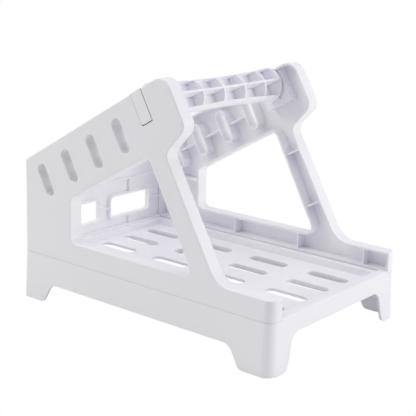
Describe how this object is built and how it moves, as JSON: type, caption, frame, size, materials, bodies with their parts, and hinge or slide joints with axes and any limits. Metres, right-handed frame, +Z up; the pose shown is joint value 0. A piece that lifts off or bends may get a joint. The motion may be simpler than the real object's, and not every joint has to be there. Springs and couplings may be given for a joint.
{
  "type": "kitchen storage stand",
  "caption": "Knock-down plastic stand with a slotted, sunken deck on four hollow legs, sloping windowed side frames, a low windowed back and a lift-out ribbed crossbar",
  "frame": {"origin": "on the floor, at the centre of the footprint of the four legs", "axes": "+X is the open front, -X the back panel, +Z up, +Y towards the right-hand side frame as seen from the open front, -Y towards the left-hand one"},
  "size_m": [0.304, 0.209, 0.2362],
  "materials": {
    "plastic": "satin white injection-moulded plastic with a fine grain"
  },
  "bodies": {
    "stand": {"base_tray": "plastic", "left_side_panel": "plastic", "right_side_panel": "plastic", "back_panel": "plastic"},
    "bar": {"crossbar": "plastic"}
  },
  "joints": [
    {"name": "crossbar_lift", "type": "slide", "parent": "stand", "child": "bar", "axis": [-0.5, 0, 0.866], "range_m": [0, 0.045]}
  ]
}
